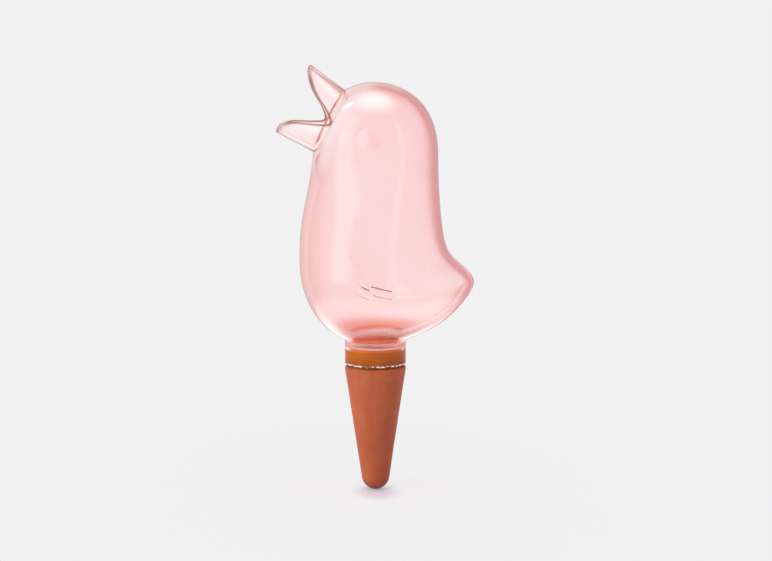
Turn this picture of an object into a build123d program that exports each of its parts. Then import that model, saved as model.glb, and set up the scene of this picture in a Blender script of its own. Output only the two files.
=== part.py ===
"""A bird-shaped glass watering vessel on a hollow terracotta spike, in millimetres.

The origin is on the axis of the spike, level with its shoulder, where the soil ends.
Z goes up and the bird faces -X. The left and right sides are the same.
"""

import os
from math import acos, atan2, cos, exp, hypot, pi, radians, sin, sqrt, tan

from build123d import *

os.makedirs("parts", exist_ok=True)

# Clay spike: an exposed cone with a round nose, and a stub above the shoulder.
spike_length = 49.1
shoulder_radius = 12.0
nose_radius = 5.4
shoulder_round = 1.0
clay_wall = 3.4
stub_radius = 8.2
stub_bore_radius = 4.8
stub_edge = 0.5

# Rubber sleeve between the stub and the neck of the vessel, with a lip over the end of the stub.
sleeve_wall = 2.0
sleeve_height = 7.7
sleeve_lip_height = 1.2
sleeve_hole_radius = 5.4
sleeve_edge = 0.35
fit_clearance = 0.05

# Glass vessel.
glass_wall = 3.0
neck_wall = 1.5
neck_rim_height = 0.9
neck_top = 10.8
neck_edge = 0.5
sleeve_stop = 1.4
belly_half_width = 27.0
breast_reach = 29.3
breast_height = 43.2
tail_reach = 38.4
tail_height = 32.6
tail_pinch = 0.46
head_radius = 24.0
head_height = 85.85

# Round hole in the head where the beak is fused on, square to a line through the head centre.
mouth_angle = 27.5
mouth_radius = 13.3

# Beak: a spout that flares upright, narrows sideways and is cut to two mandibles.
beak_wall = 1.6
beak_length = 16.5
beak_tip_half_height = 14.5
beak_tip_half_width = 5.0
beak_rise = 1.5
gape_depth = 0.9

# Relief of the glass: two raised eyes and two wings.
eye_radius = 5.0
eye_rise = 1.0
eye_forward = 3.5
eye_up = 3.5
wing_rise = 0.8
wing_front = 15.2
wing_back = 17.5
wing_top = 63.5
wing_low = 29.5
feather_step = 2.6

# Sizes that follow from the ones above.
stub_height = sleeve_height - sleeve_lip_height - fit_clearance
sleeve_inner_radius = stub_radius + fit_clearance
sleeve_outer_radius = sleeve_inner_radius + sleeve_wall
neck_bore_radius = sleeve_outer_radius + fit_clearance
neck_radius = neck_bore_radius + neck_wall
lip_radius = neck_bore_radius - sleeve_stop
mouth_distance = sqrt(head_radius**2 - mouth_radius**2)
mouth_bore_radius = mouth_radius - beak_wall

# The mouth plane, with its local X along the slope of the mouth and its normal pointing outward.
mouth_normal = Vector(-cos(radians(mouth_angle)), 0, sin(radians(mouth_angle)))
mouth_up = Vector(sin(radians(mouth_angle)), 0, cos(radians(mouth_angle)))
head_centre = Vector(0, 0, head_height)
mouth_centre = head_centre + mouth_normal * mouth_distance
mouth_plane = Plane(origin=mouth_centre, x_dir=mouth_up, z_dir=mouth_normal)
mouth_top = mouth_centre + mouth_up * mouth_radius
mouth_bottom = mouth_centre - mouth_up * mouth_radius

# Three rails carry the skin of the bird from the neck to the mouth: the front line down the
# breast, the back line over tail and crown, and the half-width of the side.
rail_foot_radius = neck_radius - neck_wall / 2
rail_foot_height = neck_top - neck_wall / 3
diagonal = head_radius * sqrt(0.5)

with BuildLine(Plane.XZ) as front_rail:
    Spline(
        (-rail_foot_radius, rail_foot_height),
        (-0.6 * breast_reach, 0.319 * breast_height),
        (-0.785 * breast_reach, 0.453 * breast_height),
        (-0.97 * breast_reach, 0.747 * breast_height),
        (-breast_reach, breast_height),
        (-0.77 * breast_reach - 0.23 * head_radius, 0.63 * breast_height + 0.37 * mouth_bottom.Z),
        (-0.3 * breast_reach - 0.7 * head_radius, 0.32 * breast_height + 0.68 * mouth_bottom.Z),
        (mouth_bottom.X, mouth_bottom.Z),
    )

with BuildLine(Plane.XZ) as back_rail:
    Spline(
        (rail_foot_radius, rail_foot_height),
        (0.515 * tail_reach, 0.417 * tail_height),
        (0.705 * tail_reach, 0.543 * tail_height),
        (0.926 * tail_reach, 0.801 * tail_height),
        (tail_reach, tail_height),
        (0.924 * tail_reach, 1.146 * tail_height),
        (0.763 * tail_reach, 1.328 * tail_height),
        (1.078 * head_radius, tail_height + 0.41 * (head_height - tail_height)),
        (1.007 * head_radius, tail_height + 0.91 * (head_height - tail_height)),
        (head_radius, head_height),
        (diagonal, head_height + diagonal),
        (0.0, head_height + head_radius),
        (mouth_top.X, mouth_top.Z),
    )

with BuildLine(Plane.YZ) as side_rail:
    Spline(
        (rail_foot_radius, rail_foot_height),
        (0.69 * belly_half_width, 0.378 * breast_height),
        (0.89 * belly_half_width, 0.563 * breast_height),
        (belly_half_width, breast_height),
        (1.02 * head_radius, head_height - 0.37 * head_radius),
        (0.84 * head_radius, head_height + 0.2 * head_radius),
        (mouth_radius, head_height + 0.51 * head_radius),
    )

# Along the rails the skin is drawn to a narrow tip round the tail. Stations run from 0 to 1.
tail_station = 0.25
tail_spread = 0.17
tail_shift = 0.13
oval_handle = 0.5523

# In the head the widest place lies nearer the back line, so that the crown is round.
head_station = 0.74
head_spread = 0.15
head_shift = 0.1

# The stations lie closer together round the tip of the tail.
bands = 16
crowding = 0.6
crowd_centre = 0.34
stations = [
    step / bands
    - crowding / (2 * pi) * (sin(2 * pi * (step / bands - crowd_centre)) + sin(2 * pi * crowd_centre))
    for step in range(bands + 1)
]


def oval_points(station, inset):
    """Seven control points of half an oval, from the front rail round the side to the back."""
    front_run = front_rail.line % station
    back_run = back_rail.line % station
    side_run = side_rail.line % station
    front = front_rail.line @ station + Vector(front_run.Z, 0, -front_run.X) * inset
    back = back_rail.line @ station + Vector(-back_run.Z, 0, back_run.X) * inset
    side = Vector(0, (side_rail.line @ station).Y - side_run.Z * inset, 0)
    tail_share = exp(-(((station - tail_station) / tail_spread) ** 2))
    head_share = exp(-(((station - head_station) / head_spread) ** 2))
    front_part = (back - front) * (0.5 - tail_shift * tail_share + head_shift * head_share)
    back_part = (back - front) - front_part
    widest = front + front_part + side
    return [
        front,
        front + side * oval_handle,
        widest - front_part * oval_handle,
        widest,
        widest + back_part * oval_handle,
        back + side * oval_handle * (1 - tail_pinch * tail_share),
        back,
    ]


def band_rows(start, end, inset):
    """Four rows of control points that carry the half oval smoothly from one station to the next."""
    nudge = 0.002
    first = oval_points(start, inset)
    last = oval_points(end, inset)
    first_low = oval_points(max(start - nudge, 0), inset)
    first_high = oval_points(min(start + nudge, 1), inset)
    last_low = oval_points(max(end - nudge, 0), inset)
    last_high = oval_points(min(end + nudge, 1), inset)
    first_step = (end - start) / 3 / (min(start + nudge, 1) - max(start - nudge, 0))
    last_step = (end - start) / 3 / (min(end + nudge, 1) - max(end - nudge, 0))
    second = [p + (high - low) * first_step for p, low, high in zip(first, first_low, first_high)]
    third = [p - (high - low) * last_step for p, low, high in zip(last, last_low, last_high)]
    return [first, second, third, last]


def bird_skin(inset):
    """Closed solid of the bird from neck to mouth, with its skin moved inward by the inset."""
    faces = []
    for start, end in zip(stations, stations[1:]):
        rows = band_rows(start, end, inset)
        for quarter in (slice(0, 4), slice(3, 7)):
            patch = Face.make_bezier_surface([row[quarter] for row in rows])
            faces += [patch, patch.mirror(Plane.XZ)]
    for station in (0, 1):
        points = oval_points(station, inset)
        rim = [Edge.make_bezier(*points[0:4]), Edge.make_bezier(*points[3:7])]
        rim += [edge.mirror(Plane.XZ) for edge in rim]
        faces.append(Face(Wire(rim)))
    return Solid(Shell(faces))


# Sleeve of amber rubber, sitting on the shoulder of the spike and closed over the stub to a hole.
with BuildPart() as seal_sleeve:
    Cylinder(sleeve_outer_radius, sleeve_height, align=(Align.CENTER, Align.CENTER, Align.MIN))
    Cylinder(
        sleeve_inner_radius,
        sleeve_height - sleeve_lip_height,
        align=(Align.CENTER, Align.CENTER, Align.MIN),
        mode=Mode.SUBTRACT,
    )
    Cylinder(
        sleeve_hole_radius,
        sleeve_height,
        align=(Align.CENTER, Align.CENTER, Align.MIN),
        mode=Mode.SUBTRACT,
    )
    sleeve_rims = seal_sleeve.edges().filter_by(GeomType.CIRCLE).group_by(Axis.Z)
    chamfer(sleeve_rims[0] + sleeve_rims[-1], sleeve_edge)

seal_sleeve.part.label = "seal_sleeve"
export_step(seal_sleeve.part, "parts/seal_sleeve.step")

# Clay spike: its cone runs tangent into the round nose, and the bore follows it inside.
nose_height = nose_radius - spike_length
cone_angle = acos(nose_radius / hypot(shoulder_radius, nose_height)) - atan2(-nose_height, shoulder_radius)
nose_rim = Vector(nose_radius * cos(cone_angle), nose_height - nose_radius * sin(cone_angle))
bore_end = nose_height + nose_radius - clay_wall
bore_nose_radius = nose_radius - 0.6 * clay_wall
bore_knee = -(shoulder_radius - clay_wall / cos(cone_angle) - stub_bore_radius) / tan(cone_angle)

with BuildPart() as terracotta_spike:
    with BuildSketch(Plane.XZ):
        with BuildLine():
            ThreePointArc(
                (0, -spike_length),
                (nose_radius * sin(radians(40)), nose_height - nose_radius * cos(radians(40))),
                (nose_rim.X, nose_rim.Y),
            )
            Line((nose_rim.X, nose_rim.Y), (shoulder_radius, 0))
            Polyline((shoulder_radius, 0), (stub_radius, 0), (stub_radius, stub_height), (0, stub_height))
            Line((0, stub_height), (0, -spike_length))
        make_face()
    revolve(axis=Axis.Z)
    shoulder_rim = terracotta_spike.edges().filter_by(GeomType.CIRCLE).sort_by(SortBy.RADIUS)[-1]
    fillet(shoulder_rim, shoulder_round)
    with BuildSketch(Plane.XZ):
        with BuildLine():
            Polyline(
                (0, stub_height),
                (stub_bore_radius, stub_height),
                (stub_bore_radius, bore_knee),
                (bore_nose_radius, bore_end + bore_nose_radius),
                (bore_nose_radius * 0.5, bore_end),
                (0, bore_end),
                (0, stub_height),
            )
        make_face()
    revolve(axis=Axis.Z, mode=Mode.SUBTRACT)
    stub_rims = terracotta_spike.edges().filter_by(GeomType.CIRCLE).group_by(Axis.Z)[-1]
    fillet(stub_rims, stub_edge)

terracotta_spike.part.label = "terracotta_spike"
export_step(terracotta_spike.part, "parts/terracotta_spike.step")

# Glass bird: the skin, the neck, the relief, and then the hollow inside them.
eye_line = Vector(-eye_forward, 0, eye_up)
eye_out = Vector(0, sqrt(head_radius**2 - eye_line.length**2), 0)
eye_ball = (eye_radius**2 + (eye_rise + head_radius - sqrt(head_radius**2 - eye_radius**2)) ** 2) / (
    2 * (eye_rise + head_radius - sqrt(head_radius**2 - eye_radius**2))
)
eye_depth = (head_radius + eye_rise - eye_ball) / head_radius
eye_centres = [
    head_centre + (eye_line + eye_out) * eye_depth,
    head_centre + (eye_line - eye_out) * eye_depth,
]

wing_height = wing_top - wing_low

with BuildPart() as wings:
    with BuildSketch(Plane.XZ):
        with BuildLine():
            Spline(
                (-0.5 * wing_front, wing_top),
                (-0.9 * wing_front, wing_top - 0.15 * wing_height),
                (-wing_front, wing_top - 0.38 * wing_height),
                (-0.9 * wing_front, wing_top - 0.62 * wing_height),
                (-0.69 * wing_front, wing_top - 0.81 * wing_height),
                (-0.28 * wing_front, wing_low + 0.02 * wing_height),
            )
            Line(
                (-0.28 * wing_front, wing_low + 0.02 * wing_height),
                (-0.24 * wing_front, wing_low + feather_step),
            )
            Spline(
                (-0.24 * wing_front, wing_low + feather_step),
                (0.02 * wing_back, wing_low + 0.4 * feather_step),
                (0.25 * wing_back, wing_low),
            )
            Line((0.25 * wing_back, wing_low), (0.28 * wing_back, wing_low + 0.9 * feather_step))
            Spline(
                (0.28 * wing_back, wing_low + 0.9 * feather_step),
                (0.54 * wing_back, wing_low + 0.4 * feather_step),
                (0.91 * wing_back, wing_low + 0.6 * feather_step),
            )
            Spline(
                (0.91 * wing_back, wing_low + 0.6 * feather_step),
                (wing_back, wing_low + 0.3 * wing_height),
                (0.8 * wing_back, wing_top - 0.3 * wing_height),
                (0.23 * wing_back, wing_top),
                (-0.5 * wing_front, wing_top),
            )
        make_face()
    extrude(amount=2 * belly_half_width, both=True)
    add(bird_skin(-wing_rise), mode=Mode.INTERSECT)

with BuildPart() as bird_body:
    add(bird_skin(0))
    with Locations((0, 0, neck_rim_height)):
        Cylinder(
            neck_radius,
            neck_top + glass_wall - neck_rim_height,
            align=(Align.CENTER, Align.CENTER, Align.MIN),
        )
    add(wings.part)
    with Locations(eye_centres):
        Sphere(eye_ball)
    add(bird_skin(glass_wall), mode=Mode.SUBTRACT)
    Cylinder(
        lip_radius,
        neck_top + 2 * glass_wall,
        align=(Align.CENTER, Align.CENTER, Align.MIN),
        mode=Mode.SUBTRACT,
    )
    Cylinder(
        neck_bore_radius,
        sleeve_height,
        align=(Align.CENTER, Align.CENTER, Align.MIN),
        mode=Mode.SUBTRACT,
    )
    with BuildSketch(mouth_plane):
        Circle(mouth_bore_radius)
    extrude(amount=-1.6 * glass_wall, mode=Mode.SUBTRACT)
    neck_rim = bird_body.edges().filter_by(GeomType.CIRCLE).group_by(Axis.Z)[0]
    fillet(neck_rim, neck_edge)

bird_body.part.label = "bird_body"
export_step(bird_body.part, "parts/bird_body.step")

# Beak: a thin spout from the round mouth to a tall narrow end, cut open to two mandibles.
beak_end = mouth_plane.offset(beak_length)
gape_plane = Plane(origin=mouth_centre, x_dir=mouth_normal, z_dir=(0, 1, 0))
gape_end = beak_length + 2
lower_tip = (gape_end, -0.875 * beak_tip_half_height)
upper_tip = (gape_end, 1.325 * beak_tip_half_height)

with BuildPart() as beak_spout:
    with BuildSketch(mouth_plane):
        Circle(mouth_radius)
    with BuildSketch(beak_end):
        with Locations((beak_rise, 0)):
            Ellipse(beak_tip_half_height, beak_tip_half_width)
    loft()
    with BuildSketch(mouth_plane):
        Circle(mouth_bore_radius)
    with BuildSketch(beak_end):
        with Locations((beak_rise, 0)):
            Ellipse(beak_tip_half_height - beak_wall, beak_tip_half_width - beak_wall)
    loft(mode=Mode.SUBTRACT)
    with BuildSketch(gape_plane):
        with BuildLine():
            Spline(
                lower_tip,
                (0.94 * beak_length, -0.6 * beak_tip_half_height),
                (0.765 * beak_length, -0.445 * beak_tip_half_height),
                (0.415 * beak_length, -0.27 * beak_tip_half_height),
                (0.168 * beak_length, -0.135 * beak_tip_half_height),
                (gape_depth, -0.035 * beak_tip_half_height),
                (0.143 * beak_length, 0.123 * beak_tip_half_height),
                (0.31 * beak_length, 0.27 * beak_tip_half_height),
                (0.53 * beak_length, 0.415 * beak_tip_half_height),
                (0.79 * beak_length, 0.65 * beak_tip_half_height),
                upper_tip,
            )
            Line(upper_tip, lower_tip)
        make_face()
    extrude(amount=2 * mouth_radius, both=True, mode=Mode.SUBTRACT)

beak_spout.part.label = "beak_spout"
export_step(beak_spout.part, "parts/beak_spout.step")
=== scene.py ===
from math import acos, atan2, cos, hypot, pi, radians, sin, sqrt, tan

import bpy
import numpy as np
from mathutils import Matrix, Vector


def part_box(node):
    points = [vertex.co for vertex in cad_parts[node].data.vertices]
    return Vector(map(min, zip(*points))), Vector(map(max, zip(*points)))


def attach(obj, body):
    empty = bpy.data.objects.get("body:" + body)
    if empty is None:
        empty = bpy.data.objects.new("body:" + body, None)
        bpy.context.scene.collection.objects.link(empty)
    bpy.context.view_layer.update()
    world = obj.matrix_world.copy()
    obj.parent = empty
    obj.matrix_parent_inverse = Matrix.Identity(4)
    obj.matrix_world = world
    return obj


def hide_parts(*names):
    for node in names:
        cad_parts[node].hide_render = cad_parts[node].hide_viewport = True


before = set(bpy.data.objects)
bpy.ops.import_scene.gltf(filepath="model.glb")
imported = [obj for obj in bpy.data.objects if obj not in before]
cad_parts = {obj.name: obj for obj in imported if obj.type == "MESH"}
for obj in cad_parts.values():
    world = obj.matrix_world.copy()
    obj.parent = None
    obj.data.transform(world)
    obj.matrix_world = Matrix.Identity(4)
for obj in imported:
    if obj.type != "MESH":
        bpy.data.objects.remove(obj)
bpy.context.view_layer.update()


# Clay spike: a hollow cone of unglazed terracotta, slip-cast and fired, with a stub on its top.
# Its porous wall lets the water seep into the soil. The rims are wiped round with a wet sponge
# before firing, so the surface is a little uneven.
mm = 0.001
spike_low, spike_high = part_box("terracotta_spike")
shoulder_radius = 12.0 * mm
shoulder_round = 1.0 * mm
nose_radius = 5.4 * mm
clay_wall = 3.4 * mm
nose_height = spike_low.z + nose_radius
nose_lean = atan2(-nose_height, shoulder_radius)
flank_angle = acos(nose_radius / hypot(shoulder_radius, nose_height)) - nose_lean
nose_corner = nose_radius / tan(pi / 4 + flank_angle / 2)
nose_round = 0.99 * nose_radius
nose_lift = 0.05 * mm
stub_radius = 8.2 * mm
stub_round = 0.5 * mm
bore_radius = 4.8 * mm
bore_knee = -(shoulder_radius - clay_wall / cos(flank_angle) - bore_radius) / tan(flank_angle)
bore_nose_radius = nose_radius - 0.6 * clay_wall
bore_end = spike_low.z + 2 * nose_radius - clay_wall
spike_unevenness = 0.16 * mm
spike_lumps = 9.0 * mm
spike_calm_above = -0.4 * mm
dark_clay = (0.415, 0.094, 0.034, 1)
light_clay = (0.54, 0.138, 0.053, 1)
lime_dust = (0.62, 0.24, 0.15, 1)
pore_colour = (0.2, 0.05, 0.03, 1)
# Painted shade at the point of the spike: the clay is darker towards the tip.
tip_shade_colour = (0.2, 0.045, 0.02, 1)
tip_shade_fade = (-1 * mm, 6 * mm)


class Value:
    """An output of a node. Arithmetic on it adds Math nodes, and node() adds any other node."""

    def __init__(self, tree, socket=None):
        self.tree = tree
        self.socket = socket

    def node(self, kind, settings=None, sockets=None, out=0):
        """Adds a node of a kind with its settings, then the values or links of its sockets."""
        made = self.tree.nodes.new(kind)
        for name, setting in (settings or {}).items():
            setattr(made, name, setting)
        for name, value in (sockets or {}).items():
            if isinstance(value, Value):
                self.tree.links.new(value.socket, made.inputs[name])
            else:
                made.inputs[name].default_value = value
        return Value(self.tree, made.outputs[out] if len(made.outputs) else None)

    def math(self, operation, first, second=0.0):
        """Adds a Math node on one or two values."""
        return self.node("ShaderNodeMath", {"operation": operation}, {0: first, 1: second})

    def __add__(self, other):
        return self.math("ADD", self, other)

    __radd__ = __add__

    def __sub__(self, other):
        return self.math("SUBTRACT", self, other)

    def __rsub__(self, other):
        return self.math("SUBTRACT", other, self)

    def __mul__(self, other):
        return self.math("MULTIPLY", self, other)

    __rmul__ = __mul__

    def __rtruediv__(self, other):
        return self.math("DIVIDE", other, self)

    def ramp(self, low, high):
        """0 below low, 1 above high and smooth between them."""
        settings = {"interpolation_type": "SMOOTHSTEP"}
        return self.node("ShaderNodeMapRange", settings, {0: self, 1: low, 2: high})


def new_material(name):
    """An empty node material and the Value that starts its nodes."""
    material = bpy.data.materials.new(name)
    material.use_nodes = True
    material.node_tree.nodes.clear()
    return material, Value(material.node_tree)


def noise(start, size, detail=2.0, roughness=0.5, stretch=(1.0, 1.0, 1.0)):
    """Cloudy noise from 0 to 1 whose lumps have the given size in metres, drawn out along an axis."""
    place = start.node("ShaderNodeTexCoord", out="Object")
    if stretch != (1.0, 1.0, 1.0):
        place = start.node("ShaderNodeMapping", None, {"Vector": place, "Scale": stretch})
    sockets = {"Vector": place, "Scale": 1.0 / size, "Detail": detail, "Roughness": roughness}
    return start.node("ShaderNodeTexNoise", None, sockets)


def mixed_colour(start, share, first, second):
    """One colour where the share is 0, the other where it is 1."""
    settings = {"data_type": "RGBA"}
    return start.node("ShaderNodeMix", settings, {0: share, 6: first, 7: second}, out=2)


def bump(start, height, strength, distance):
    """The normal of a surface with fine relief, as deep as the distance in metres."""
    sockets = {"Height": height, "Strength": strength, "Distance": distance}
    return start.node("ShaderNodeBump", None, sockets)


def coat(start, sockets):
    """Ends a material in one plain surface with the given sockets."""
    surface = start.node("ShaderNodeBsdfPrincipled", None, sockets)
    start.node("ShaderNodeOutputMaterial", None, {"Surface": surface})


def terracotta():
    """Fired clay: warm blotches, pale dust of lime, dark pores, a fine sandy grain and painted shade at
    the point.
    """
    material, start = new_material("terracotta")
    blotches = noise(start, 14 * mm, 3.0, 0.55, (1.0, 1.0, 0.45)).ramp(0.3, 0.7)
    grain = noise(start, 0.55 * mm, 3.0, 0.6)
    dust = noise(start, 3.2 * mm, 4.0, 0.65).ramp(0.55, 0.8)
    pores = noise(start, 0.9 * mm, 1.0, 0.4).ramp(0.72, 0.8)
    place = start.node("ShaderNodeTexCoord", out="Object")
    level = start.node("ShaderNodeSeparateXYZ", None, {0: place}, out="Z")
    # Painted shade: the clay is darkened towards the point of the spike.
    painted_tip_shade = 1 - (level - spike_low.z).ramp(*tip_shade_fade)
    colour = mixed_colour(start, blotches, dark_clay, light_clay)
    colour = mixed_colour(start, dust * 0.22, colour, lime_dust)
    colour = mixed_colour(start, pores * 0.35, colour, pore_colour)
    colour = mixed_colour(start, painted_tip_shade * 0.7, colour, tip_shade_colour)
    height = grain * 0.6 + blotches * 0.4 - pores * 0.8
    sockets = {
        "Base Color": colour,
        "Roughness": 0.78 + grain * 0.2,
        "Sheen Weight": 0.2,
        "Sheen Roughness": 0.4,
        "Normal": bump(start, height, 0.22, 0.12 * mm),
    }
    coat(start, sockets)
    return material


def rounded_profile(corners, closed=False, arc_steps=8, run=1.0 * mm):
    """Points of a turned profile. A corner is (radius, height, rounding), and long runs are divided."""
    spots = [np.array(corner[:2]) for corner in corners]
    points = []
    for index, (_, _, rounding) in enumerate(corners):
        here = spots[index]
        if rounding == 0:
            points.append(here)
            continue
        back = spots[index - 1] - here
        ahead = spots[(index + 1) % len(spots)] - here
        back = back / np.linalg.norm(back)
        ahead = ahead / np.linalg.norm(ahead)
        half = acos(np.dot(back, ahead)) / 2
        centre = here + (back + ahead) / np.linalg.norm(back + ahead) * rounding / sin(half)
        first = here + back * rounding / tan(half) - centre
        last = here + ahead * rounding / tan(half) - centre
        turn = pi - 2 * half
        for share in np.linspace(0, 1, arc_steps + 1):
            arm = first * sin(turn * (1 - share)) + last * sin(turn * share)
            points.append(centre + arm / sin(turn))
    runs = list(zip(points, points[1:]))
    if closed:
        runs.append((points[-1], points[0]))
    divided = []
    for start, end in runs:
        pieces = max(1, round(np.linalg.norm(end - start) / run))
        divided += [start + (end - start) * step / pieces for step in range(pieces)]
    if not closed:
        divided.append(points[-1])
    return np.array(divided)


turned_columns = 160
weld_distance = 0.001 * mm
calm_fade = 3 * mm


def turning_tree():
    """Geometry nodes that sweep a profile once round the Z axis and make its lower part uneven."""
    tree = bpy.data.node_groups.new("turned_piece", "GeometryNodeTree")
    kinds = {
        "Profile": "NodeSocketObject",
        "Around": "NodeSocketInt",
        "Path Radius": "NodeSocketFloat",
        "Unevenness": "NodeSocketFloat",
        "Lumps": "NodeSocketFloat",
        "Calm Above": "NodeSocketFloat",
        "Material": "NodeSocketMaterial",
    }
    for name, kind in kinds.items():
        tree.interface.new_socket(name=name, in_out="INPUT", socket_type=kind)
    tree.interface.new_socket(name="Piece", in_out="OUTPUT", socket_type="NodeSocketGeometry")
    start = Value(tree)
    given = {name: start.node("NodeGroupInput", out=name) for name in kinds}
    profile = start.node("GeometryNodeObjectInfo", None, {"Object": given["Profile"]}, out="Geometry")
    sockets = {"Resolution": given["Around"], "Radius": given["Path Radius"]}
    path = start.node("GeometryNodeCurvePrimitiveCircle", {"mode": "RADIUS"}, sockets)
    swept = start.node("GeometryNodeCurveToMesh", None, {"Curve": path, "Profile Curve": profile})
    sockets = {"Geometry": swept, "Distance": weld_distance}
    whole = start.node("GeometryNodeMergeByDistance", None, sockets)
    place = start.node("GeometryNodeInputPosition")
    height = start.node("ShaderNodeSeparateXYZ", None, {0: place}, out="Z")
    calm = (given["Calm Above"] - height).ramp(0.0, calm_fade)
    lumps = start.node("ShaderNodeTexNoise", None, {"Vector": place, "Scale": 1.0 / given["Lumps"]})
    push = (lumps - 0.5) * 2.0 * given["Unevenness"] * calm
    normal = start.node("GeometryNodeInputNormal")
    offset = start.node("ShaderNodeVectorMath", {"operation": "SCALE"}, {0: normal, "Scale": push})
    uneven = start.node("GeometryNodeSetPosition", None, {"Geometry": whole, "Offset": offset})
    smooth = start.node("GeometryNodeSetShadeSmooth", None, {0: uneven})
    real = start.node("GeometryNodeRealizeInstances", None, {0: smooth})
    coated = start.node("GeometryNodeSetMaterial", None, {0: real, "Material": given["Material"]})
    start.node("NodeGroupOutput", None, {"Piece": coated})
    return tree


def turned_piece(name, profile, closed, material, unevenness=0.0, lumps=10 * mm, calm_above=0.0):
    """A plain mesh object of the profile turned round the Z axis."""
    path_radius = 5 * mm
    curve = bpy.data.curves.new(name + "_profile", "CURVE")
    curve.dimensions = "3D"
    line = curve.splines.new("POLY")
    line.points.add(len(profile) - 1)
    line.use_cyclic_u = closed
    for point, (radius, height) in zip(line.points, profile[::-1]):
        point.co = (radius - path_radius, -height, 0, 1)
    outline = bpy.data.objects.new(name + "_profile", curve)
    host = bpy.data.objects.new(name + "_host", bpy.data.meshes.new(name + "_host"))
    for helper in (outline, host):
        bpy.context.scene.collection.objects.link(helper)
    tree = bpy.data.node_groups.get("turned_piece") or turning_tree()
    given = {
        "Profile": outline,
        "Around": turned_columns,
        "Path Radius": path_radius,
        "Unevenness": unevenness,
        "Lumps": lumps,
        "Calm Above": calm_above,
        "Material": material,
    }
    turning = host.modifiers.new("turning", "NODES")
    turning.node_group = tree
    for socket in tree.interface.items_tree:
        if socket.in_out == "INPUT":
            turning[socket.identifier] = given[socket.name]
    evaluated = host.evaluated_get(bpy.context.evaluated_depsgraph_get())
    mesh = bpy.data.meshes.new_from_object(evaluated)
    host.modifiers.remove(turning)
    for helper in (outline, host):
        bpy.data.objects.remove(helper)
    mesh.name = name
    piece = bpy.data.objects.new(name, mesh)
    bpy.context.scene.collection.objects.link(piece)
    return piece


spike_profile = rounded_profile(
    [
        (0.0, spike_low.z + nose_lift, 0.0),
        (nose_corner, spike_low.z + nose_lift, nose_round),
        (shoulder_radius, 0.0, shoulder_round),
        (stub_radius, 0.0, 0.0),
        (stub_radius, spike_high.z, stub_round),
        (bore_radius, spike_high.z, stub_round),
        (bore_radius, bore_knee, 0.0),
        (bore_nose_radius, bore_end + bore_nose_radius, 0.0),
        (0.5 * bore_nose_radius, bore_end, 0.0),
        (0.0, bore_end, 0.0),
    ]
)
clay_spike = turned_piece(
    "clay_spike", spike_profile, False, terracotta(), spike_unevenness, spike_lumps, spike_calm_above
)
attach(clay_spike, "spike")
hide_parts("terracotta_spike")


# Rubber sleeve: an amber ring, moulded and slightly see-through, stretched over the clay stub with
# a lip on the stub's end. It is squeezed into the neck of the glass and keeps the joint tight.
sleeve_low, sleeve_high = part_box("seal_sleeve")
fit_gap = 0.05 * mm
sleeve_outer = sleeve_high.x
sleeve_inner = stub_radius + fit_gap
sleeve_hole = 5.4 * mm
sleeve_lip = 1.2 * mm
sleeve_edge = 0.35 * mm
hole_edge = 0.85 * mm
sleeve_shoulder = 1.1 * mm
glass_contact = 0.06 * mm
lip_gap = 0.2 * mm
deep_amber = (0.6, 0.155, 0.002, 1)
light_amber = (0.7, 0.19, 0.003, 1)
light_spread = 14 * mm


def amber_rubber():
    """Soft amber rubber: light spreads inside it, with faint clouds and a satin skin."""
    material, start = new_material("amber_rubber")
    clouds = noise(start, 5 * mm, 2.0, 0.5, (1.0, 1.0, 0.5))
    specks = noise(start, 0.5 * mm, 2.0)
    sockets = {
        "Base Color": mixed_colour(start, clouds, deep_amber, light_amber),
        "Roughness": 0.36 + specks * 0.14,
        "Normal": bump(start, specks, 0.1, 0.05 * mm),
        "Specular IOR Level": 0.08,
        "Subsurface Weight": 1.0,
        "Subsurface Radius": (1.0, 0.5, 0.15),
        "Subsurface Scale": light_spread,
    }
    coat(start, sockets)
    return material


sleeve_profile = rounded_profile(
    [
        (sleeve_inner, sleeve_low.z, sleeve_edge),
        (sleeve_outer + glass_contact, sleeve_low.z, sleeve_edge),
        (sleeve_outer + glass_contact, sleeve_high.z - lip_gap, sleeve_shoulder),
        (sleeve_hole, sleeve_high.z - lip_gap, hole_edge),
        (sleeve_hole, sleeve_high.z - sleeve_lip, 0.0),
        (sleeve_inner, sleeve_high.z - sleeve_lip, 0.0),
    ],
    closed=True,
)
rubber_sleeve = turned_piece("rubber_sleeve", sleeve_profile, True, amber_rubber())
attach(rubber_sleeve, "seal")
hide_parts("seal_sleeve")


# Glass bird: blown into a mould from clear pink glass, with the eyes and the wings raised on it.
# Inside the short neck a lip of thick glass stops the rubber sleeve.
body_low, body_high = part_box("bird_body")
glass_wall = 3.0 * mm
mouth_wall = 1.3 * mm
neck_bore = sleeve_outer + fit_gap
neck_wall = 1.5 * mm
neck_radius = neck_bore + neck_wall
neck_rim = body_low.z
neck_edge = 0.5 * mm
neck_end = 9.4 * mm
lip_radius = 8.9 * mm
lip_top = 11.8 * mm
lip_edge = 0.4 * mm
foot_radius = 11.05 * mm
foot_height = 10.3 * mm
belly_half_width = 27.0 * mm
breast_reach = -body_low.x
breast_height = 43.2 * mm
tail_reach = body_high.x
tail_height = 32.6 * mm
tail_pinch = 0.46
head_radius = 24.0 * mm
head_height = 85.85 * mm
mouth_angle = radians(27.5)
mouth_radius = 13.3 * mm
mouth_bore = 11.7 * mm
mouth_normal = np.array([-cos(mouth_angle), 0.0, sin(mouth_angle)])
mouth_up = np.array([sin(mouth_angle), 0.0, cos(mouth_angle)])
head_centre = np.array([0.0, 0.0, head_height])
mouth_centre = head_centre + mouth_normal * sqrt(head_radius**2 - mouth_radius**2)
mouth_bottom = mouth_centre - mouth_up * mouth_radius
mouth_top = mouth_centre + mouth_up * mouth_radius
eye_place = np.array([-3.5 * mm, 0.0, head_height + 3.5 * mm])
eye_radius = 5.6 * mm
eye_rise = 1.2 * mm
rail_samples = 4001


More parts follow.
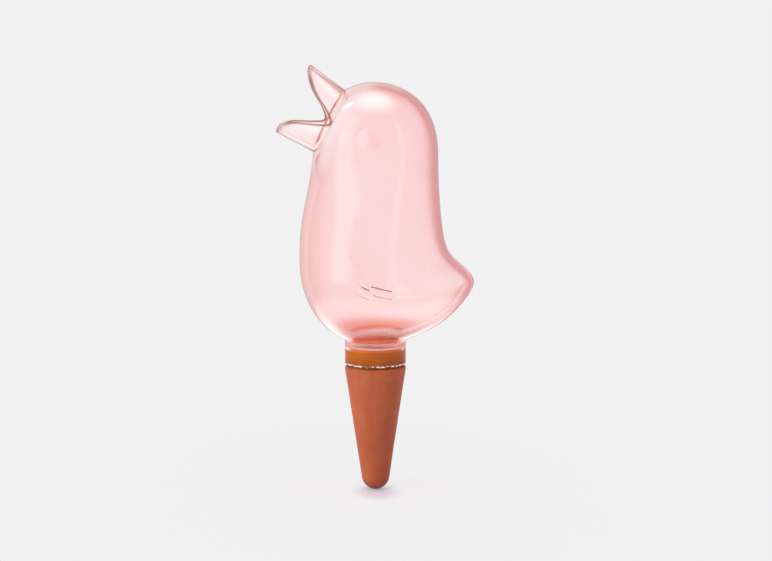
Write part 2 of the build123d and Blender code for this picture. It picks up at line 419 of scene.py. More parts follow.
def rail(corners):
    """A smooth line through points in a plane: samples of share of length, place and direction."""
    corners = np.array(corners)
    count = len(corners)
    chords = np.append(0, np.cumsum(np.linalg.norm(np.diff(corners, axis=0), axis=1)))
    gaps = np.diff(chords)[:, None]
    slopes_from = np.zeros((count, count))
    wanted = np.zeros((count, 2))
    for i in range(1, count - 1):
        before, after = gaps[i - 1, 0], gaps[i, 0]
        slopes_from[i, i - 1 : i + 2] = (1 / before, 2 / before + 2 / after, 1 / after)
        rise_before = (corners[i] - corners[i - 1]) / before**2
        rise_after = (corners[i + 1] - corners[i]) / after**2
        wanted[i] = 3 * (rise_before + rise_after)
    for end, near in ((0, slice(0, 4)), (count - 1, slice(count - 4, count))):
        cubic = np.polyfit(chords[near] - chords[end], corners[near], 3)
        slopes_from[end, end] = 1
        wanted[end] = cubic[2]
    slopes = np.linalg.solve(slopes_from, wanted)
    samples = np.linspace(0, chords[-1], rail_samples)
    span = np.clip(np.searchsorted(chords, samples) - 1, 0, count - 2)
    gap = gaps[span]
    share = (samples[:, None] - chords[span][:, None]) / gap
    start, end = corners[span], corners[span + 1]
    leave, arrive = slopes[span] * gap, slopes[span + 1] * gap
    bend = 3 * (end - start) - 2 * leave - arrive
    twist = 2 * (start - end) + leave + arrive
    places = start + share * (leave + share * (bend + share * twist))
    runs = leave + share * (2 * bend + share * 3 * twist)
    runs /= np.linalg.norm(runs, axis=1)[:, None]
    lengths = np.append(0, np.cumsum(np.linalg.norm(np.diff(places, axis=0), axis=1)))
    return lengths / lengths[-1], places, runs


def along(line, stations):
    """Places and directions on a rail at the given shares of its length."""
    shares, places, runs = line
    found = []
    for values in (places, runs):
        columns = [np.interp(stations, shares, values[:, k]) for k in (0, 1)]
        found.append(np.stack(columns, axis=-1))
    return found


diagonal = head_radius * sqrt(0.5)
back_rise = head_height - tail_height
front_rail = rail(
    [
        (-foot_radius, foot_height),
        (-0.6 * breast_reach, 0.319 * breast_height),
        (-0.785 * breast_reach, 0.453 * breast_height),
        (-0.97 * breast_reach, 0.747 * breast_height),
        (-breast_reach, breast_height),
        (-0.77 * breast_reach - 0.23 * head_radius, 0.63 * breast_height + 0.37 * mouth_bottom[2]),
        (-0.3 * breast_reach - 0.7 * head_radius, 0.32 * breast_height + 0.68 * mouth_bottom[2]),
        (mouth_bottom[0], mouth_bottom[2]),
    ]
)
back_rail = rail(
    [
        (foot_radius, foot_height),
        (0.515 * tail_reach, 0.417 * tail_height),
        (0.705 * tail_reach, 0.543 * tail_height),
        (0.926 * tail_reach, 0.801 * tail_height),
        (tail_reach, tail_height),
        (0.924 * tail_reach, 1.146 * tail_height),
        (0.763 * tail_reach, 1.328 * tail_height),
        (1.078 * head_radius, tail_height + 0.41 * back_rise),
        (1.007 * head_radius, tail_height + 0.91 * back_rise),
        (head_radius, head_height),
        (diagonal, head_height + diagonal),
        (0.0, head_height + head_radius),
        (mouth_top[0], mouth_top[2]),
    ]
)
side_rail = rail(
    [
        (foot_radius, foot_height),
        (0.69 * belly_half_width, 0.378 * breast_height),
        (0.89 * belly_half_width, 0.563 * breast_height),
        (belly_half_width, breast_height),
        (1.02 * head_radius, head_height - 0.37 * head_radius),
        (0.84 * head_radius, head_height + 0.2 * head_radius),
        (mouth_radius, head_height + 0.51 * head_radius),
    ]
)

quarter_columns = 64
flank_crowding = 0.6
round_handle = 0.5523


def cubic_points(corners, t):
    """Points at the shares t along a cubic curve that four corners draw."""
    weights = ((1 - t) ** 3, 3 * t * (1 - t) ** 2, 3 * t**2 * (1 - t), t**3)
    return sum(weight * corner for weight, corner in zip(weights, corners))


def oval_rings(front, back, side, front_share, pinch):
    """Rings of points round ovals that go through a front and a back point and have a half-width."""
    third = np.zeros_like(side)
    outward = np.stack([third, side, third], axis=-1)
    front_part = (back - front) * front_share[:, None]
    back_part = back - front - front_part
    widest = front + front_part + outward
    pinched = outward * (round_handle * pinch)[:, None]
    quarters = (
        (front, front + outward * round_handle, widest - front_part * round_handle, widest),
        (widest, widest + back_part * round_handle, back + pinched, back),
    )
    steps = np.arange(quarter_columns + 1) / quarter_columns
    crowded = steps * (1 + flank_crowding * (1 - steps))
    curves = []
    for quarter, t in zip(quarters, (crowded, 1 - crowded[::-1])):
        corners = [corner[:, None, :] for corner in quarter]
        curves.append(cubic_points(corners, t[None, :, None]))
    half = np.concatenate([curves[0][:, :-1], curves[1]], axis=1)
    other = half[:, -2:0:-1] * np.array([1.0, -1.0, 1.0])
    return np.concatenate([half, other], axis=1)


tail_station = 0.25
tail_spread = 0.17
tail_shift = 0.13
head_station = 0.74
head_spread = 0.15
head_shift = 0.1


def hump(values, middle, spread):
    """1 at the middle, falling off smoothly to both sides."""
    return np.exp(-(((values - middle) / spread) ** 2))


def in_middle_plane(points):
    """Points of (ahead, height), set in the plane that halves the bird."""
    return np.insert(points, 1, 0.0, axis=-1)


def skin_rings(stations, inset):
    """Rings of the bird's skin between the rails, moved inward by the inset of each station."""
    front, front_run = along(front_rail, stations)
    back, back_run = along(back_rail, stations)
    side, side_run = along(side_rail, stations)
    front = front + np.stack([front_run[:, 1], -front_run[:, 0]], axis=-1) * inset[:, None]
    back = back + np.stack([-back_run[:, 1], back_run[:, 0]], axis=-1) * inset[:, None]
    tail_share = hump(stations, tail_station, tail_spread)
    head_share = hump(stations, head_station, head_spread)
    half_width = side[:, 0] - side_run[:, 1] * inset
    front_share = 0.5 - tail_shift * tail_share + head_shift * head_share
    pinch = 1 - tail_pinch * tail_share
    return oval_rings(in_middle_plane(front), in_middle_plane(back), half_width, front_share, pinch)


def round_rings(profile):
    """Rings of a turned profile of (radius, height) points, with the same columns as the skin."""
    radius, height = profile[:, 0], profile[:, 1]
    level = np.zeros_like(radius)
    front = np.stack([-radius, level, height], axis=-1)
    back = np.stack([radius, level, height], axis=-1)
    return oval_rings(front, back, radius, level + 0.5, level + 1.0)


def bridge_rings(first, leave, last, arrive, count):
    """Rings that carry one ring smoothly over to another, leaving and arriving along given steps."""
    t = (np.arange(1, count) / count)[:, None, None]
    return cubic_points((first, first + leave, last - arrive, last), t)


def ring_steps(first, last):
    """Unit steps from the points of one ring to those of the next."""
    step = last - first
    return step / np.linalg.norm(step, axis=-1)[:, None]


def outward_normals(rings):
    """Unit normals of an open band of rings, pointing away from the middle of each ring."""
    run = np.gradient(rings, axis=0)
    wrapped = np.concatenate([rings[:, -1:], rings, rings[:, :1]], axis=1)
    across = (wrapped[:, 2:] - wrapped[:, :-2]) / 2
    normals = np.cross(across, run)
    normals /= np.linalg.norm(normals, axis=-1)[..., None]
    out = rings - rings.mean(axis=1, keepdims=True)
    return normals * np.sign((normals * out).sum(axis=-1).mean())


def smooth_step(values, low, high):
    """0 below low, 1 above high and smooth between them."""
    share = np.clip((values - low) / (high - low), 0, 1)
    return share * share * (3 - 2 * share)


wing_front = 15.2 * mm
wing_back = 17.5 * mm
wing_top = 63.5 * mm
wing_low = 29.5 * mm
wing_height = wing_top - wing_low
wing_middle = -3 * mm
wing_spread = 9 * mm
wing_fade = (wing_low + 6 * mm, wing_low + 26 * mm)
wing_fade_share = 0.85
flank_turn = (0.25, 0.6)
outline_skip = 80
feather_step = 2.6 * mm
feather_shift = 0.3 * mm
feather_rows = ((0.0, 0.75), (3.4 * mm, 1.0))
feather_edge = 0.24 * mm
feather_rise = 0.6 * mm
feather_fade = 6.0 * mm


def wing_outline():
    """Closed outline of a wing in the side view: the rounded front and three feather ends."""
    front = rail(
        [
            (-0.5 * wing_front, wing_top),
            (-0.9 * wing_front, wing_top - 0.15 * wing_height),
            (-wing_front, wing_top - 0.38 * wing_height),
            (-0.9 * wing_front, wing_top - 0.62 * wing_height),
            (-0.69 * wing_front, wing_top - 0.81 * wing_height),
            (-0.5 * wing_front, wing_low + 0.075 * wing_height),
            (-0.28 * wing_front, wing_low + 0.02 * wing_height),
        ]
    )
    second = rail(
        [
            (-0.25 * wing_front, wing_low + 0.8 * feather_step),
            (-0.07 * wing_front, wing_low + 0.45 * feather_step),
            (0.12 * wing_back, wing_low + 0.05 * feather_step),
            (0.25 * wing_back, wing_low),
        ]
    )
    third = rail(
        [
            (0.28 * wing_back, wing_low + 0.5 * feather_step),
            (0.4 * wing_back, wing_low + 0.35 * feather_step),
            (0.65 * wing_back, wing_low + 0.2 * feather_step),
            (0.91 * wing_back, wing_low + 0.6 * feather_step),
        ]
    )
    back = rail(
        [
            (0.91 * wing_back, wing_low + 0.6 * feather_step),
            (wing_back, wing_low + 0.3 * wing_height),
            (0.8 * wing_back, wing_top - 0.3 * wing_height),
            (0.23 * wing_back, wing_top),
            (-0.5 * wing_front, wing_top),
        ]
    )
    return np.concatenate([line[1][::outline_skip] for line in (front, second, third, back)])


def depth_inside(outline, spots):
    """How far each spot of a plane lies inside a closed outline; outside it is negative."""
    tiny = 1e-18
    step = np.roll(outline, -1, axis=0) - outline
    nearest = np.full(len(spots), np.inf)
    inside = np.zeros(len(spots), bool)
    for (ax, az), (dx, dz) in zip(outline, step):
        px, pz = spots[:, 0] - ax, spots[:, 1] - az
        share = np.clip((px * dx + pz * dz) / (dx * dx + dz * dz + tiny), 0, 1)
        nearest = np.minimum(nearest, np.hypot(px - share * dx, pz - share * dz))
        crosses = (az > spots[:, 1]) != (az + dz > spots[:, 1])
        reach = ax + dx * (spots[:, 1] - az) / (dz if dz else tiny)
        inside ^= crosses & (spots[:, 0] < reach)
    return np.where(inside, nearest, -nearest)


def relief(rings, normals):
    """How far the moulded eyes and wings stand out from the skin. Each row of feather ends lies at a
    height over the wing's lower edge and has a share of the rise."""
    spots = rings.reshape(-1, 3)
    flank = smooth_step(np.abs(normals.reshape(-1, 3)[:, 1]), *flank_turn)
    side_view = spots[:, [0, 2]]
    ahead, height = side_view.T
    strength = 0.3 + 0.7 * hump(ahead, wing_middle, wing_spread)
    strength = strength * (1 - wing_fade_share * smooth_step(height, *wing_fade)) * flank
    outline = wing_outline()
    rise = np.zeros(len(spots))
    for row, share in feather_rows:
        depth = depth_inside(outline + np.array([feather_shift, row]), side_view)
        edge = smooth_step(depth, -feather_edge, feather_edge)
        rise += share * feather_rise * edge * np.exp(-np.maximum(depth, 0) / feather_fade) * strength
    across = np.hypot(ahead - eye_place[0], height - eye_place[2]) / eye_radius
    on_head = np.abs(spots[:, 1]) > 0.5 * head_radius
    rise += eye_rise * np.clip(1 - across**2, 0, 1) ** 2 * on_head
    return rise.reshape(rings.shape[:2])


def ring_piece(name, rings, shades, material):
    """A closed skin through rings of points, each joined to the next and the last to the first.
    The shades are named values from 0 to 1 at each point, for the material."""
    rows, columns, _ = rings.shape
    index = np.arange(rows * columns).reshape(rows, columns)
    ahead = np.roll(index, -1, axis=0)
    faces = np.stack([index, ahead, np.roll(ahead, -1, axis=1), np.roll(index, -1, axis=1)], axis=-1)
    mesh = bpy.data.meshes.new(name)
    mesh.from_pydata(rings.reshape(-1, 3).tolist(), [], faces.reshape(-1, 4).tolist())
    mesh.shade_smooth()
    for shade, values in shades.items():
        mesh.attributes.new(shade, "FLOAT", "POINT").data.foreach_set("value", values.ravel())
    mesh.materials.append(material)
    piece = bpy.data.objects.new(name, mesh)
    bpy.context.scene.collection.objects.link(piece)
    return piece


seam_shade = 0.3
seam_width = 0.35 * mm

# Dark strokes painted at the feather ends, as painted shade where the raised edges bend the light:
# both ends as (ahead, height), the sag, the share of the length over which a stroke starts softly,
# and how dark it is.
feather_lines = (
    ((-9.4 * mm, 35.9 * mm), (-4.8 * mm, 33.3 * mm), 0.5 * mm, 0.5, 1.0),
    ((-4.5 * mm, 34.75 * mm), (3.8 * mm, 32.5 * mm), 0.1 * mm, 0.04, 1.0),
    ((-11.6 * mm, 32.8 * mm), (-4.9 * mm, 29.8 * mm), 0.5 * mm, 0.8, 0.5),
    ((-3.9 * mm, 31.3 * mm), (3.9 * mm, 29.4 * mm), 0.1 * mm, 0.1, 0.65),
)
line_width = 0.42 * mm


def drawn_line(ahead, height, first, last, sag, fade, dark):
    """A thin line across the flank between two ends: as dark as given on it and 0 beside it."""
    share = (ahead - first[0]) * (1 / (last[0] - first[0]))
    course = first[1] + share * (last[1] - first[1]) - share * (1 - share) * (4 * sag)
    off = ahead.math("ABSOLUTE", height - course)
    ends = share.ramp(-0.02, fade) * (1 - share.ramp(0.94, 1.02))
    return dark * (1 - off.ramp(0.3 * line_width, line_width)) * ends


clear_white = (1, 1, 1, 1)
smear_tint = (0.985, 0.975, 0.975, 1)
reflected_tint = (1, 0.99, 0.99, 1)
shadow_tint = (0.98, 0.86, 0.86, 1)
painted_glow_colour = (0.94, 0.45, 0.29, 1)
glow_radii = (12 * mm, 23 * mm)
glow_rise = (9 * mm, 11 * mm)
glow_fade = (12 * mm, 17.5 * mm)
ground_radii = (9.3 * mm, 10 * mm)
ground_fade = (12 * mm, 14 * mm)
matt_radii = (14 * mm, 19 * mm)
matt_from = (10.2 * mm, 11 * mm)
matt_fade = (24 * mm, 32 * mm)


def vector_length(vector):
    """The length of a vector."""
    return vector.node("ShaderNodeVectorMath", {"operation": "LENGTH"}, {0: vector}, out="Value")


def tinted_glass(name, depth_colour, depth_density, rim_colour, edge_shade_colour, line_shade_colour, edge_turn):
    """Clear blown glass, coloured all through. Where a wall is seen edge on it has a painted deeper tint,
    partly the longer path through the glass and partly painted shade, and a painted dark outline; along
    moulded and cut edges it has painted dark lines, painted shade where those edges bend the light. It
    has slow waves from blowing and faint smears. Over the neck it carries a painted glow of the amber
    below, a painted reflection of the sleeve in the thick glass; the lip there is ground, and the inner
    wall above the lip is matt. Light that was once reflected passes straight on, so that none is
    trapped in the walls."""
    material, start = new_material(name)
    waves = noise(start, 26 * mm, 1.0, 0.4, (1.0, 1.0, 0.6))
    cords = noise(start, 5 * mm, 1.0, 0.4, (1.0, 1.0, 0.25))
    smears = noise(start, 9 * mm, 3.0, 0.6).ramp(0.5, 0.8)
    facing = start.node("ShaderNodeLayerWeight", None, {"Blend": 0.5}, out="Facing")
    lines = start.node("ShaderNodeAttribute", {"attribute_name": "edge_lines"}, out="Fac")
    place = start.node("ShaderNodeTexCoord", out="Object")
    ahead = start.node("ShaderNodeSeparateXYZ", None, {0: place}, out="X")
    level = start.node("ShaderNodeSeparateXYZ", None, {0: place}, out="Z")
    outer_skin = start.node("ShaderNodeAttribute", {"attribute_name": "outer_skin"}, out="Fac")
    # Painted shade: dark strokes at the feather ends, added to the painted lines at the seam and the
    # beak's edges.
    for line in feather_lines:
        lines = lines + outer_skin * drawn_line(ahead, level, *line)
    lines = lines * (1 - start.node("ShaderNodeNewGeometry", out="Backfacing"))
    flat = start.node("ShaderNodeVectorMath", {"operation": "MULTIPLY"}, {0: place, 1: (1, 1, 0)})
    radius = vector_length(flat)
    # Painted glow: the amber sleeve's colour painted into the glass over the neck, for its reflection in
    # the thick glass.
    glow = (1 - radius.ramp(*glow_radii)) * level.ramp(*glow_rise) * (1 - level.ramp(*glow_fade))
    ground = (1 - radius.ramp(*ground_radii)) * (1 - level.ramp(*ground_fade))
    inner_skin = (1 - outer_skin) * (1 - level.ramp(*matt_fade))
    matt = inner_skin * (1 - radius.ramp(*matt_radii)) * level.ramp(*matt_from)
    thin = mixed_colour(start, smears, clear_white, smear_tint)
    thin = mixed_colour(start, glow, thin, painted_glow_colour)
    # Painted deeper tint and painted dark outline where a wall is seen edge on.
    rim = mixed_colour(start, facing.ramp(0.35, 0.95), thin, rim_colour)
    uneven = 0.35 + 0.65 * noise(start, 7 * mm, 1.0, 0.5).ramp(0.42, 0.58)
    edge = mixed_colour(start, facing.ramp(*edge_turn) * uneven, rim, edge_shade_colour)
    colour = mixed_colour(start, lines, edge, line_shade_colour)
    sockets = {
        "Base Color": colour,
        "Roughness": 0.012 * smears + 0.35 * matt + 0.6 * ground,
        "IOR": 1.47,
        "Transmission Weight": 1.0,
        "Normal": bump(start, waves + cords * 0.06, 1.0, 0.12 * mm),
    }
    glass = start.node("ShaderNodeBsdfPrincipled", None, sockets)
    straight_on = start.node("ShaderNodeBsdfTransparent", None, {"Color": reflected_tint})
    reflected = start.node("ShaderNodeLightPath", out="Is Reflection Ray")
    freed = start.node("ShaderNodeMixShader", None, {0: reflected, 1: glass, 2: straight_on})
    clear = start.node("ShaderNodeBsdfTransparent", None, {"Color": shadow_tint})
    lamp = start.node("ShaderNodeLightPath", out="Is Shadow Ray")
    surface = start.node("ShaderNodeMixShader", None, {0: lamp, 1: freed, 2: clear})
    sockets = {"Color": depth_colour, "Density": depth_density}
    inside = start.node("ShaderNodeVolumeAbsorption", None, sockets)
    start.node("ShaderNodeOutputMaterial", None, {"Surface": surface, "Volume": inside})
    return material


# The rows of points on the outside crowd together at the feathers and at the eyes.
skin_start = 0.035
skin_rows = 250
shares = np.linspace(0, 1, 2001)
feather_crowding = 2.6 * hump(shares, 0.27, 0.06)
eye_crowding = 0.8 * hump(shares, 0.83, 0.07)
crowd = 1 + feather_crowding + eye_crowding
spread = np.append(0, np.cumsum((crowd[1:] + crowd[:-1]) / 2))
places = skin_start + (1 - skin_start) * shares
stations = np.interp(np.linspace(0, 1, skin_rows), spread / spread[-1], places)
outer = skin_rings(stations, 0 * stations)
normals = outward_normals(outer)
rise = relief(outer, normals)
outer = outer + normals * rise[..., None]
inner_rows = 72
inner_stations = np.linspace(0.985, 0.015, inner_rows)
thinning = smooth_step(inner_stations, 0.86, 0.97)
inner = skin_rings(inner_stations, glass_wall + (mouth_wall - glass_wall) * thinning)

neck = round_rings(
    rounded_profile(
        [
            (lip_radius, lip_top, 0.0),
            (lip_radius, sleeve_high.z, lip_edge),
            (neck_bore, sleeve_high.z, 0.5 * lip_edge),
            (neck_bore, neck_rim, neck_edge),
            (neck_radius, neck_rim, neck_edge),
            (neck_radius, neck_end, 0.0),
        ],
        arc_steps=5,
    )
)

# The neck, the skin and the inner wall are carried over into one another, each leaving and arriving
# along a pull of about a millimetre.
upright = np.array([0.0, 0.0, 1.0])
belly_pull = ring_steps(outer[0], outer[1]) * 1.6 * mm
belly_joint = bridge_rings(neck[-1], upright * 1.1 * mm, outer[0], belly_pull, 8)
bore_ring = mouth_centre + (outer[-1] - mouth_centre) * mouth_bore / mouth_radius
mouth_pull = ring_steps(inner[0], inner[1]) * 0.6 * mm
mouth_joint = bridge_rings(bore_ring, -mouth_normal * 1.0 * mm, inner[0], mouth_pull, 6)
lip_pull = ring_steps(inner[-2], inner[-1]) * 0.6 * mm
lip_joint = bridge_rings(inner[-1], lip_pull, neck[0], -upright * 0.8 * mm, 5)
body_rings = np.concatenate([neck, belly_joint, outer, bore_ring[None], mouth_joint, inner, lip_joint])

body_lines = np.zeros(body_rings.shape[:2])
outer_skin = np.zeros(body_rings.shape[:2])
skin_from = len(neck) + len(belly_joint)
skin_part = slice(skin_from, skin_from + skin_rows)
to_mouth = np.linalg.norm(outer - outer[-1], axis=-1)
outer_skin[skin_part] = 1.0
body_lines[skin_part] = seam_shade * hump(to_mouth, 0.0, seam_width)

pink_glass = tinted_glass(
    "pink_glass",
    depth_colour=(0.96, 0.02, 0.0, 1),
    depth_density=58.0,
    rim_colour=(0.92, 0.76, 0.73, 1),
    edge_shade_colour=(0.8, 0.55, 0.52, 1),
    line_shade_colour=(0.25, 0.03, 0.016, 1),
    edge_turn=(0.8, 1.0),
)
body_shades = {"edge_lines": body_lines, "outer_skin": outer_skin}
glass_bird = ring_piece("glass_bird", body_rings, body_shades, pink_glass)
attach(glass_bird, "vessel")
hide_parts("bird_body")


# Ground rim: the cut edge of the neck, ground by hand and never polished. It is white in patches,
# partly the whiteness of ground glass and partly painted glints, and dark between them with painted
# shade.
grain_depth = 0.22 * mm
grain_lumps = 1.4 * mm
rim_inner = neck_bore + 0.25 * mm
rim_outer = neck_radius - 0.15 * mm
rim_bottom = neck_rim - 0.15 * mm
rim_top = neck_rim + 0.5 * mm
ground_edge = 0.2 * mm
shaded_grains = (0.2, 0.045, 0.015, 1)
frosted_and_glinting_grains = (1.0, 0.9, 0.84, 1)


def ground_glass():
    """Ground glass in white patches, partly its own whiteness and partly painted glints, with painted
    shade between them.
    """
    material, start = new_material("ground_glass")
    patches = noise(start, 1.5 * mm, 2.0, 0.6).ramp(0.46, 0.54)
    grains = noise(start, 0.4 * mm, 2.0, 0.6)
    sockets = {
        "Base Color": mixed_colour(start, patches, shaded_grains, frosted_and_glinting_grains),
        "Roughness": 0.35 + grains * 0.3,
        "Normal": bump(start, grains, 0.5, 0.1 * mm),
    }
    coat(start, sockets)
    return material


rim_profile = rounded_profile(
    [
        (rim_inner, rim_bottom, ground_edge),
        (rim_outer, rim_bottom, ground_edge),
        (rim_outer, rim_top, ground_edge),
        (rim_inner, rim_top, ground_edge),
    ],
    closed=True,
    arc_steps=4,
    run=0.3 * mm,
)
ground_rim = turned_piece(
    "ground_rim", rim_profile, True, ground_glass(), grain_depth, grain_lumps, neck_end
)
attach(ground_rim, "vessel")


# Beak: a thin spout of paler glass, drawn out while hot and fused to the round hole in the head.
# A deep V is cut through both its sides, which leaves two mandibles with fire-polished edges.
beak_wall = 1.6 * mm
beak_length = 16.5 * mm
beak_half_height = 14.5 * mm
beak_half_width = 5.0 * mm
beak_rise = 1.5 * mm
gape_depth = 0.9 * mm
gape_end = beak_length + 2 * mm
seam_overlap = 0.05 * mm
beak_columns = 192
gape = rail(
    [
        (gape_end, -0.875 * beak_half_height),
        (0.94 * beak_length, -0.6 * beak_half_height),
        (0.765 * beak_length, -0.445 * beak_half_height),
        (0.415 * beak_length, -0.27 * beak_half_height),
        (0.168 * beak_length, -0.135 * beak_half_height),
        (gape_depth, -0.035 * beak_half_height),
        (0.143 * beak_length, 0.123 * beak_half_height),
        (0.31 * beak_length, 0.27 * beak_half_height),
        (0.53 * beak_length, 0.415 * beak_half_height),
        (0.79 * beak_length, 0.65 * beak_half_height),
        (gape_end, 1.325 * beak_half_height),
    ]
)[1]
gape_corner = np.argmin(gape[:, 0])
beak_angles = 2 * pi * np.arange(beak_columns) / beak_columns


def beak_point(share, inset):
    """Points of the spout at a share of its length, round the angles, as (out, up, side)."""
    reach = beak_length * share
    tall = (mouth_radius - inset) * (1 - share) + (beak_half_height - inset) * share
    wide = (mouth_radius - inset) * (1 - share) + (beak_half_width - inset) * share
    up = tall * np.cos(beak_angles) + beak_rise * share
    return np.stack([reach + 0 * up, up, wide * np.sin(beak_angles)], axis=-1)


def gape_share(inset):
    """At each angle, the share of the length where the cut of the gape begins."""
    found = np.ones(beak_columns)
    for share in np.linspace(1, 0, 1601):
        out, up, _ = beak_point(np.full(beak_columns, share), inset).T
        low = np.interp(out, gape[gape_corner::-1, 0], gape[gape_corner::-1, 1])
        high = np.interp(out, gape[gape_corner:, 0], gape[gape_corner:, 1])
        cut = (out > gape[gape_corner, 0]) & (up > low) & (up < high)
        found = np.where(cut, share, found)
    return found


rim_round = 0.55 * mm
rim_line = 1.1 * mm
rim_steps = 7
tip_paling = 0.4
tip_from = 0.86
outer_end = gape_share(0.0) - rim_round / beak_length
inner_end = gape_share(beak_wall) - rim_round / beak_length
beak_row_count = 28
beak_rows = np.linspace(0, 1, beak_row_count) ** 0.8
outer_wall = [beak_point(outer_end * share, 0.0) for share in beak_rows]
inner_wall = [beak_point(inner_end * share, beak_wall) for share in beak_rows[::-1]]
rim_middle = (outer_wall[-1] + inner_wall[0]) / 2
rim_half = outer_wall[-1] - rim_middle
rim_out = ring_steps(outer_wall[-2], outer_wall[-1])
rim_turns = pi * np.arange(1, rim_steps) / rim_steps
rim = [rim_middle + rim_half * cos(turn) + rim_out * rim_round * sin(turn) for turn in rim_turns]
beak_local = np.array(outer_wall + rim + inner_wall)[::-1] - np.array([seam_overlap, 0, 0])
across = np.array([0.0, 1.0, 0.0])
beak_rings = mouth_centre + beak_local @ np.stack([mouth_normal, mouth_up, across])

# Painted shade: dark lines along the beak's cut and rounded edges, paler towards the tip.
from_rim = (1 - beak_rows)[:, None] * beak_length
outer_lines = hump(from_rim * outer_end, 0.0, rim_line)
inner_lines = hump(from_rim * inner_end, 0.0, rim_line)
rim_lines = np.ones((len(rim), beak_columns))
beak_lines = np.concatenate([outer_lines, rim_lines, inner_lines[::-1]])[::-1]
beak_lines = beak_lines * (1 - tip_paling * smooth_step(outer_end, tip_from, 1.0))

pale_glass = tinted_glass(
    "pale_glass",
    depth_colour=(0.94, 0.1, 0.05, 1),
    depth_density=60.0,
    rim_colour=(0.84, 0.58, 0.53, 1),
    edge_shade_colour=(0.3, 0.09, 0.05, 1),
    line_shade_colour=(0.2, 0.026, 0.009, 1),
    edge_turn=(0.5, 0.85),
)
glass_beak = ring_piece("glass_beak", beak_rings, {"edge_lines": beak_lines}, pale_glass)
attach(glass_beak, "vessel")
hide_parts("beak_spout")


# Studio: a plain pale floor under the point of the spike, soft boxes of light and an even pale
# background. The camera sees the bird's left side, from a little above and a little in front.
# Each window is a soft-edged stretch of the sky, with its angles in degrees.
backdrop = 0.88
behind_glass = 1.0
in_reflections = 0.5
left_window = {"azimuth": -57, "half_width": 15, "low": -30, "high": 48, "edge": 9}
right_window = {"azimuth": 38, "half_width": 6, "low": -25, "high": 45, "edge": 4}
top_window = {"azimuth": 0, "half_width": 200, "low": 70, "high": 120, "edge": 14}
small_window = {"azimuth": -111, "half_width": 8, "low": 46, "high": 62, "edge": 4}
dim_window = {"azimuth": 125, "half_width": 24, "low": -90, "high": 75, "edge": 14}
left_strength = 2.4
right_strength = 1.3
top_strength = 6.5
small_strength = 6.0
fill_strength = 0.42
fill_colour = (1.0, 0.95, 0.86, 1)
dim_colour = (0.78, 0.54, 0.53, 1)


def light_path(start, *kinds):
    """What kind of ray meets the surface, one value for each kind that is asked for."""
    return [start.node("ShaderNodeLightPath", out=kind) for kind in kinds]


def seen_by_eye(start):
    """1 for rays from the camera, and for those that glass and gloss turn on to the background."""
    camera, glossy, through = light_path(start, "Is Camera Ray", "Is Glossy Ray", "Is Transmission Ray")
    return (camera + glossy + through).ramp(0.0, 1.0)


def strength_seen(start, reflected):
    """How bright the background is to the eye, through glass and as the first reflection on it."""
    camera, entered = light_path(start, "Is Camera Ray", "Transmission Depth")
    first = 1 - entered.ramp(0.0, 1.0)
    turned = behind_glass + first * (reflected - behind_glass)
    return seen_by_eye(start) * (camera * backdrop + (1 - camera) * turned)


def soft_window(direction, azimuth, half_width, low, high, edge):
    """1 inside a stretch of the sky with soft edges, 0 outside it."""
    a = radians(azimuth)
    axes = ((sin(a), -cos(a), 0.0), (cos(a), sin(a), 0.0), (0.0, 0.0, 1.0))
    shares = []
    for axis in axes:
        sockets = {0: direction, 1: axis}
        settings = {"operation": "DOT_PRODUCT"}
        shares.append(direction.node("ShaderNodeVectorMath", settings, sockets, out="Value"))
    ahead, aside, up = shares
    angle = direction.math("ABSOLUTE", direction.math("ARCTAN2", aside, ahead))
    rise = direction.math("ARCSINE", up)
    soft = radians(edge)
    across = 1 - angle.ramp(radians(half_width) - soft, radians(half_width) + soft)
    above = rise.ramp(radians(low) - soft, radians(low) + soft)
    below = 1 - rise.ramp(radians(high) - soft, radians(high) + soft)
    return across * above * below


def side_windows(direction, left_share=1.0, right_share=1.0):
    """The tall soft boxes to the left and the right, each at a share of its strength. They reach
    down past the edge of the floor, so the floor carries their lower ends."""
    left = left_strength * soft_window(direction, **left_window)
    right = right_strength * soft_window(direction, **right_window)
    return left * left_share + right * right_share


def dim_right(direction):
    """White, but a warm grey to the right behind the object where it is seen through the glass."""
    entered = light_path(direction, "Transmission Depth")[0].ramp(0.0, 1.0)
    share = soft_window(direction, **dim_window) * entered
    return mixed_colour(direction, share, clear_white, dim_colour)


floor_half = 8.0
floor_tones = ((0.88, 0.8, 0.98, 1), (0.92, 0.84, 1.0, 1))
floor_clouds = 0.3
pool_rise = (0.055, 0.1)
pool_fall = (0.1, 0.2)
left_from = (0.3, 0.5)
right_from = (0.45, 0.9)
shadow_depth = 0.6
shadow_shift = 4 * mm
shadow_core = (2 * mm, 11 * mm)
shadow_reach = (10 * mm, 100 * mm)


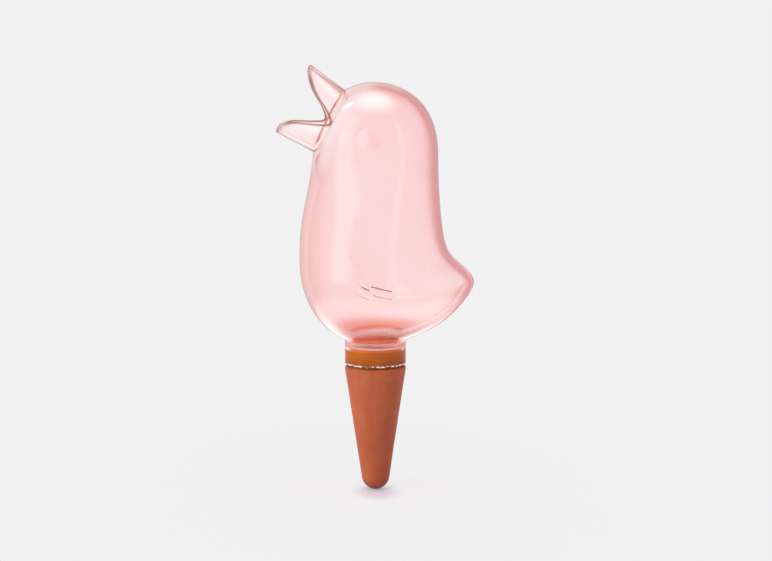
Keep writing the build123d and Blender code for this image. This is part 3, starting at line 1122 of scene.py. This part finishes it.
def pale_floor():
    """A pale painted floor of one even colour, with real light round the spike for its shadow. To a
    reflection in the glass it has a bright pool round the spike and the lower ends of the windows."""
    material, start = new_material("pale_floor")
    mottle = noise(start, floor_clouds, 2.0)
    colour = mixed_colour(start, mottle, *floor_tones)
    sockets = {"Base Color": colour, "Roughness": 0.9, "Specular IOR Level": 0.0}
    lit = start.node("ShaderNodeBsdfPrincipled", None, sockets)
    place = start.node("ShaderNodeTexCoord", out="Object")
    far = vector_length(place)
    aim = start.node("ShaderNodeVectorMath", {"operation": "NORMALIZE"}, {0: place})
    pool = 0.3 + (2.3 - 2.1 * far.ramp(*pool_fall)) * far.ramp(*pool_rise)
    pool = pool + side_windows(aim, far.ramp(*left_from), far.ramp(*right_from))
    sockets = {"Color": dim_right(aim), "Strength": strength_seen(start, pool)}
    even = start.node("ShaderNodeEmission", None, sockets)
    sockets = {0: place, 1: (1, shadow_depth, 0), 2: (0, shadow_shift, 0)}
    level = start.node("ShaderNodeVectorMath", {"operation": "MULTIPLY_ADD"}, sockets)
    away = vector_length(level)
    plain = 0.25 + 0.65 * away.ramp(*shadow_core) + 0.1 * away.ramp(*shadow_reach)
    sockets = {0: seen_by_eye(start) * plain, 1: lit, 2: even}
    surface = start.node("ShaderNodeMixShader", None, sockets)
    start.node("ShaderNodeOutputMaterial", None, {"Surface": surface})
    return material


floor_mesh = bpy.data.meshes.new("floor")
floor_corners = [
    (-floor_half, -floor_half, spike_low.z),
    (floor_half, -floor_half, spike_low.z),
    (floor_half, floor_half, spike_low.z),
    (-floor_half, floor_half, spike_low.z),
]
floor_mesh.from_pydata(floor_corners, [], [(0, 1, 2, 3)])
floor_mesh.materials.append(pale_floor())
floor = bpy.data.objects.new("floor", floor_mesh)
bpy.context.scene.collection.objects.link(floor)

world = bpy.data.worlds.new("studio")
world.use_nodes = True
world.node_tree.nodes.clear()
sky = Value(world.node_tree)
direction = sky.node("ShaderNodeTexCoord", out="Generated")
overhead = top_strength * soft_window(direction, **top_window)
small = small_strength * soft_window(direction, **small_window)
windows = in_reflections + side_windows(direction) + overhead + small
fill = fill_strength * (1 - seen_by_eye(sky))
strength = strength_seen(sky, windows) + fill
colour = mixed_colour(sky, seen_by_eye(sky), fill_colour, dim_right(direction))
sockets = {"Color": colour, "Strength": strength}
whole_sky = sky.node("ShaderNodeBackground", None, sockets)
sky.node("ShaderNodeOutputWorld", None, {"Surface": whole_sky})
bpy.context.scene.world = world

look_at = Vector((4.144 * mm, 0.0, 33.137 * mm))


def place_towards(thing, azimuth, elevation, distance):
    """Stands a lamp or the camera off at an angle, turned towards the object."""
    a, e = radians(azimuth), radians(elevation)
    away = Vector((sin(a) * cos(e), -cos(a) * cos(e), sin(e)))
    thing.location = look_at + away * distance
    thing.rotation_euler = away.to_track_quat("Z", "Y").to_euler()


def soft_box(name, width, height, power, colour, azimuth, elevation, distance):
    """A lamp that lights the clay and the floor; its image in the glass is a soft window of the sky."""
    lamp = bpy.data.lights.new(name, "AREA")
    lamp.shape = "RECTANGLE"
    lamp.size = width
    lamp.size_y = height
    lamp.energy = power
    lamp.color = colour
    box = bpy.data.objects.new(name, lamp)
    box.visible_glossy = False
    box.visible_transmission = False
    bpy.context.scene.collection.objects.link(box)
    place_towards(box, azimuth, elevation, distance)


soft_box("left_box", 0.36, 0.8, 4.3, (0.98, 1.0, 1.1), azimuth=-60, elevation=16, distance=0.85)
soft_box("top_box", 0.6, 0.6, 3.6, (1, 1, 1), azimuth=0, elevation=88, distance=0.85)
soft_box("right_box", 0.3, 0.5, 0.5, (1.0, 0.9, 0.75), azimuth=65, elevation=0, distance=0.9)

lens = bpy.data.cameras.new("camera")
lens.sensor_width = 36.0
lens.lens = 108.4
camera = bpy.data.objects.new("camera", lens)
bpy.context.scene.collection.objects.link(camera)
place_towards(camera, azimuth=-6, elevation=8, distance=0.9)
bpy.context.scene.camera = camera
bpy.context.scene.view_settings.view_transform = "Standard"
bpy.context.scene.cycles.max_bounces = 24
bpy.context.scene.cycles.transmission_bounces = 24
